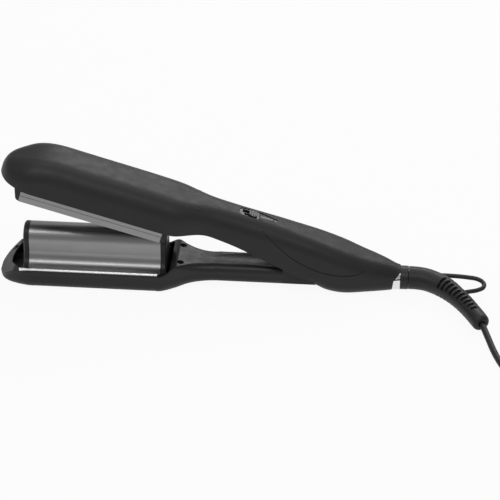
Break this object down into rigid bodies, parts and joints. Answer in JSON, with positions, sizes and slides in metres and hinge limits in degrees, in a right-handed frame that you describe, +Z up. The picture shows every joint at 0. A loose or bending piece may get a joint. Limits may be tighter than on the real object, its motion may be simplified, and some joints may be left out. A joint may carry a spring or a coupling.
{
  "type": "hair waver",
  "caption": "Hand-held hair waver: two hinged arms with deep wave plates, slide switch and button on the neck, curved strain relief and cord.",
  "frame": {"origin": "on the supporting surface, under the middle of the lower jaw", "axes": "+X along the lower arm towards the cord, +Z up, arms open as at rest"},
  "size_m": [0.5465, 0.1725, 0.1102],
  "materials": {
    "soft_black": "soft-touch black",
    "satin_black": "satin black",
    "heat_black": "heat-proof black",
    "plate_silver": "satin silver",
    "bright_silver": "bright",
    "heater_alloy": "plain",
    "ceramic": "plain",
    "mica": "plain",
    "silicone": "soft",
    "steel": "plain",
    "dark_screw": "black oxide",
    "gloss_black": "gloss",
    "grip_grey": "satin",
    "board_green": "plain",
    "lens_red": "tinted",
    "cord_black": "matt"
  },
  "bodies": {
    "main_arm": {"upper_housing": "soft_black", "handle_cover": "soft_black", "handle_screws": "dark_screw", "neck_cover": "satin_black", "neck_screws": "dark_screw", "upper_carrier": "heat_black", "upper_wave_plate": "plate_silver", "upper_front_cap": "heat_black", "upper_rear_cap": "heat_black", "upper_heater_saddle": "heater_alloy", "upper_heater_strip": "ceramic", "upper_mica_sheet": "mica", "hinge_pin": "steel", "hinge_spring": "steel", "control_bezel": "gloss_black", "circuit_board": "board_green", "board_screws": "steel", "switch_body": "satin_black", "tact_switch": "satin_black", "trim_ring": "bright_silver", "end_collar": "satin_black"},
    "lower_arm": {"lower_shell": "soft_black", "lower_cover": "satin_black", "cover_screws": "dark_screw", "side_rails": "bright_silver", "hinge_bushes": "ceramic", "plate_cushions": "silicone"},
    "lower_heater": {"lower_wave_plate": "plate_silver", "lower_front_cap": "heat_black", "lower_rear_cap": "heat_black", "lower_carrier": "heat_black", "lower_heater_core": "heater_alloy", "lower_heater_strip": "ceramic"},
    "slide_switch": {"power_switch": "grip_grey"},
    "heat_button": {"temperature_button": "satin_black", "indicator_lens": "lens_red"},
    "cord_end": {"swivel_core": "satin_black", "strain_relief": "cord_black", "hang_loop": "cord_black", "cord_lead": "cord_black", "cord_coil": "cord_black", "cord_tie": "satin_black", "cord_tail": "cord_black", "plug_body": "cord_black", "plug_pins": "steel", "pin_sleeves": "satin_black"}
  },
  "joints": [
    {"name": "clamp_hinge", "type": "hinge", "parent": "main_arm", "child": "lower_arm", "pos_m": [0.155, 0, 0.036], "axis": [0, 1, 0], "range_deg": [0, 16.8], "stiffness_Nm_per_rad": 1, "springref_deg": -34.38, "deforming": ["hinge_spring"]},
    {"name": "plate_float", "type": "slide", "parent": "lower_arm", "child": "lower_heater", "axis": [0, 0, -1], "range_m": [0, 0.002], "stiffness_N_per_m": 4000, "springref_m": -0.003, "deforming": ["plate_cushions"]},
    {"name": "switch_slide", "type": "slide", "parent": "main_arm", "child": "slide_switch", "axis": [-0.9573, 0, 0.289], "range_m": [0, 0.005]},
    {"name": "button_press", "type": "slide", "parent": "main_arm", "child": "heat_button", "axis": [-0.289, 0, -0.9573], "range_m": [0, 0.0008], "stiffness_N_per_m": 900, "springref_m": -0.0006},
    {"name": "cord_swivel", "type": "hinge", "parent": "main_arm", "child": "cord_end", "pos_m": [0.2435, 0, 0.0099], "axis": [1, 0, 0], "continuous": true}
  ]
}
